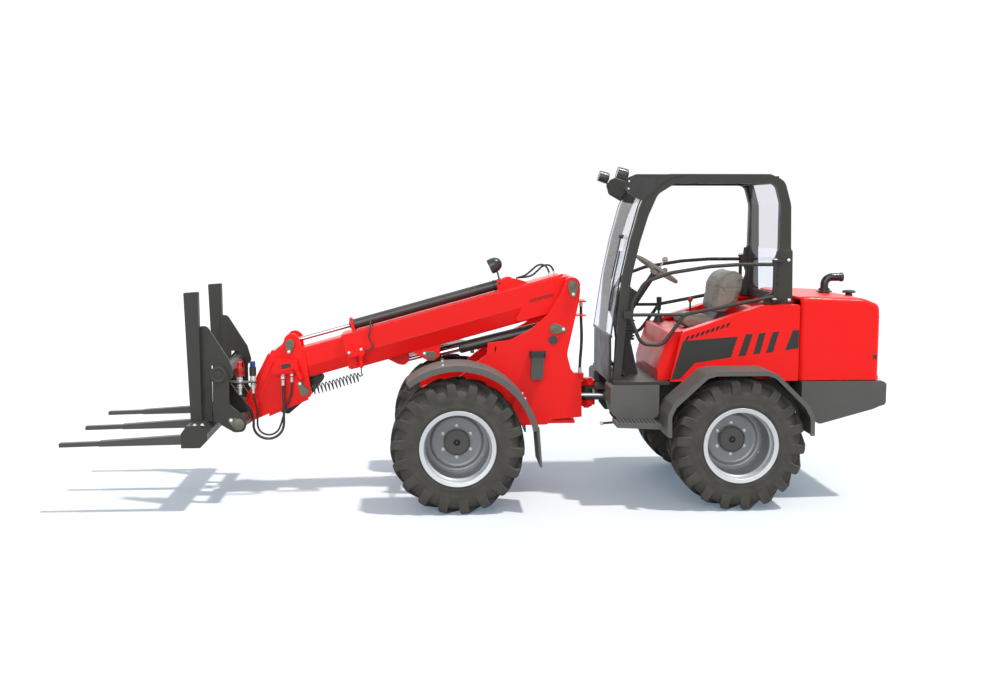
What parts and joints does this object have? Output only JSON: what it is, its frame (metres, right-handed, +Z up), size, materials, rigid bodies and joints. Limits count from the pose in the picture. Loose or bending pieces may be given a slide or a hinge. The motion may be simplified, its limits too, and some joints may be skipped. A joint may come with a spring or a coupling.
{
  "type": "articulated telescopic loader",
  "caption": "Compact articulated loader with an open cab, a telescoping boom and pallet forks, rear engine under a sloping bonnet and lugged tyres on deep-dish rims",
  "frame": {"origin": "centre of the bounding box at ground level, under the wheels", "axes": "+X to the rear of the machine, -X to the fork tips, +Y to its right-hand side, +Z up"},
  "size_m": [6.14, 1.796, 2.509],
  "materials": {
    "red_paint": "glossy bright red paint",
    "dark_paint": "satin charcoal paint",
    "chrome": "polished rod",
    "silver_paint": "satin silver paint",
    "tyre_rubber": "matt black-grey tread",
    "dark_plastic": "matt charcoal moulding",
    "glass": "clear",
    "seat_vinyl": "olive beige vinyl",
    "engine_iron": "dark cast finish",
    "exhaust_steel": "heat-proof black",
    "hose_rubber": "black hose"
  },
  "bodies": {
    "rear_frame": {"rear_chassis": "dark_paint", "rear_axle": "dark_paint", "engine_block": "engine_iron", "side_panel_left": "red_paint", "side_panel_right": "red_paint", "seat_console": "red_paint", "rear_counterweight": "dark_paint", "rear_left_fender": "dark_plastic", "rear_right_fender": "dark_plastic", "cab_frame": "dark_paint", "roof_panel": "dark_paint", "windscreen": "glass", "rear_window": "glass", "cab_floor": "dark_paint", "step_housing_left": "dark_paint", "step_housing_right": "dark_paint", "dashboard": "dark_plastic", "driver_seat": "seat_vinyl", "roof_lamps": "dark_plastic", "tow_hitch": "exhaust_steel", "control_levers": "dark_plastic"},
    "bonnet_lid": {"bonnet": "red_paint", "exhaust_pipe": "exhaust_steel"},
    "gate_left_body": {"gate_left": "dark_paint"},
    "gate_right_body": {"gate_right": "dark_paint"},
    "steering_wheel_body": {"steering_wheel": "dark_plastic"},
    "front_frame_body": {"front_frame": "red_paint", "front_axle": "dark_paint", "filler_neck": "dark_plastic", "front_left_fender": "dark_plastic", "front_right_fender": "dark_plastic", "frame_hoses": "hose_rubber"},
    "boom": {"outer_boom": "red_paint", "telescope_barrel": "dark_paint", "boom_lamp": "dark_plastic", "boom_hoses": "hose_rubber", "spiral_cable": "hose_rubber"},
    "boom_extension": {"inner_boom": "red_paint", "telescope_rod": "chrome", "tool_hose": "hose_rubber"},
    "tool_carrier_body": {"tool_carrier": "dark_paint", "fork_frame": "dark_paint", "fork_tines": "dark_paint", "tool_couplers": "dark_plastic"},
    "tilt_lever_body": {"tilt_lever": "dark_paint"},
    "tilt_link_body": {"tilt_link": "dark_paint"},
    "lift_barrel": {"lift_cylinder_barrel": "dark_paint"},
    "lift_rod": {"lift_cylinder_rod": "chrome"},
    "level_barrel": {"level_cylinder_barrel": "dark_paint"},
    "level_rod": {"level_cylinder_rod": "chrome"},
    "steering_barrel": {"steering_cylinder_barrel": "dark_paint"},
    "steering_rod": {"steering_cylinder_rod": "chrome"},
    "wheel_front_left": {"front_left_tyre": "tyre_rubber", "front_left_rim": "silver_paint"},
    "wheel_front_right": {"front_right_tyre": "tyre_rubber", "front_right_rim": "silver_paint"},
    "wheel_rear_left": {"rear_left_tyre": "tyre_rubber", "rear_left_rim": "silver_paint"},
    "wheel_rear_right": {"rear_right_tyre": "tyre_rubber", "rear_right_rim": "silver_paint"}
  },
  "joints": [
    {"name": "articulation", "type": "hinge", "parent": "rear_frame", "child": "front_frame_body", "pos_m": [0.852, 0, 0.767], "axis": [0, 0, 1], "range_deg": [-38, 38]},
    {"name": "boom_lift", "type": "hinge", "parent": "front_frame_body", "child": "boom", "pos_m": [0.7, 0, 1.63], "axis": [0, 1, 0], "range_deg": [-8, 62]},
    {"name": "telescope", "type": "slide", "parent": "boom", "child": "boom_extension", "axis": [-0.9647, 0, -0.2632], "range_m": [-0.15, 0.85], "deforming": ["spiral_cable"]},
    {"name": "tool_tilt", "type": "hinge", "parent": "boom_extension", "child": "tool_carrier_body", "pos_m": [-1.816, 0, 0.621], "axis": [0, -1, 0], "range_deg": [-30, 45], "deforming": ["tool_hose"]},
    {"name": "tilt_lever_swing", "type": "hinge", "parent": "boom_extension", "child": "tilt_lever_body", "pos_m": [-1.362, 0, 0.809], "axis": [0, -1, 0], "range_deg": [-19.5, 13.5]},
    {"name": "tilt_link_swing", "type": "hinge", "parent": "tilt_lever_body", "child": "tilt_link_body", "pos_m": [-1.541, 0, 0.655], "axis": [0, -1, 0], "range_deg": [-27.5, 41]},
    {"name": "lift_barrel_swing", "type": "hinge", "parent": "front_frame_body", "child": "lift_barrel", "pos_m": [0.563, -0.078, 1.3], "axis": [0, 1, 0], "range_deg": [-9, 65]},
    {"name": "lift_rod_stroke", "type": "slide", "parent": "lift_barrel", "child": "lift_rod", "axis": [-0.9736, 0, -0.2283], "range_m": [-0.05, 0.37]},
    {"name": "level_barrel_swing", "type": "hinge", "parent": "front_frame_body", "child": "level_barrel", "pos_m": [0.563, 0.088, 1.3], "axis": [0, 1, 0], "range_deg": [-9, 65]},
    {"name": "level_rod_stroke", "type": "slide", "parent": "level_barrel", "child": "level_rod", "axis": [-0.9718, 0, -0.2357], "range_m": [-0.05, 0.37]},
    {"name": "steering_barrel_swing", "type": "hinge", "parent": "rear_frame", "child": "steering_barrel", "pos_m": [1.362, -0.19, 0.767], "axis": [0, 0, 1], "range_deg": [-8.5, 8.5]},
    {"name": "steering_rod_stroke", "type": "slide", "parent": "steering_barrel", "child": "steering_rod", "axis": [-0.9982, 0.0605, 0], "range_m": [-0.105, 0.105]},
    {"name": "bonnet_hinge", "type": "hinge", "parent": "rear_frame", "child": "bonnet_lid", "pos_m": [2.402, 0, 1.508], "axis": [0, -1, 0], "range_deg": [0, 50]},
    {"name": "gate_left_hinge", "type": "hinge", "parent": "rear_frame", "child": "gate_left_body", "pos_m": [2.202, -0.494, 1.68], "axis": [0, 0, 1], "range_deg": [0, 95]},
    {"name": "gate_right_hinge", "type": "hinge", "parent": "rear_frame", "child": "gate_right_body", "pos_m": [2.202, 0.494, 1.68], "axis": [0, 0, -1], "range_deg": [0, 95]},
    {"name": "steering_wheel_turn", "type": "hinge", "parent": "rear_frame", "child": "steering_wheel_body", "pos_m": [1.402, 0, 1.738], "axis": [0.549, 0, 0.8358], "continuous": true},
    {"name": "front_left_wheel", "type": "hinge", "parent": "front_frame_body", "child": "wheel_front_left", "pos_m": [-0.198, -0.7, 0.49], "axis": [0, 1, 0], "continuous": true},
    {"name": "front_right_wheel", "type": "hinge", "parent": "front_frame_body", "child": "wheel_front_right", "pos_m": [-0.198, 0.7, 0.49], "axis": [0, 1, 0], "continuous": true},
    {"name": "rear_left_wheel", "type": "hinge", "parent": "rear_frame", "child": "wheel_rear_left", "pos_m": [1.873, -0.7, 0.49], "axis": [0, 1, 0], "continuous": true},
    {"name": "rear_right_wheel", "type": "hinge", "parent": "rear_frame", "child": "wheel_rear_right", "pos_m": [1.873, 0.7, 0.49], "axis": [0, 1, 0], "continuous": true}
  ],
  "couplings": [
    {"joint": "lift_barrel_swing", "follows": "boom_lift", "ratio": 1.0355},
    {"joint": "lift_rod_stroke", "follows": "boom_lift", "m_per_rad": 0.3298},
    {"joint": "level_barrel_swing", "follows": "boom_lift", "ratio": 1.0293},
    {"joint": "level_rod_stroke", "follows": "boom_lift", "m_per_rad": 0.3306},
    {"joint": "steering_barrel_swing", "follows": "articulation", "ratio": 0.2105},
    {"joint": "steering_rod_stroke", "follows": "articulation", "m_per_rad": -0.1554},
    {"joint": "tilt_lever_swing", "follows": "tool_tilt", "ratio": -0.4208},
    {"joint": "tilt_link_swing", "follows": "tool_tilt", "ratio": 0.8938}
  ]
}
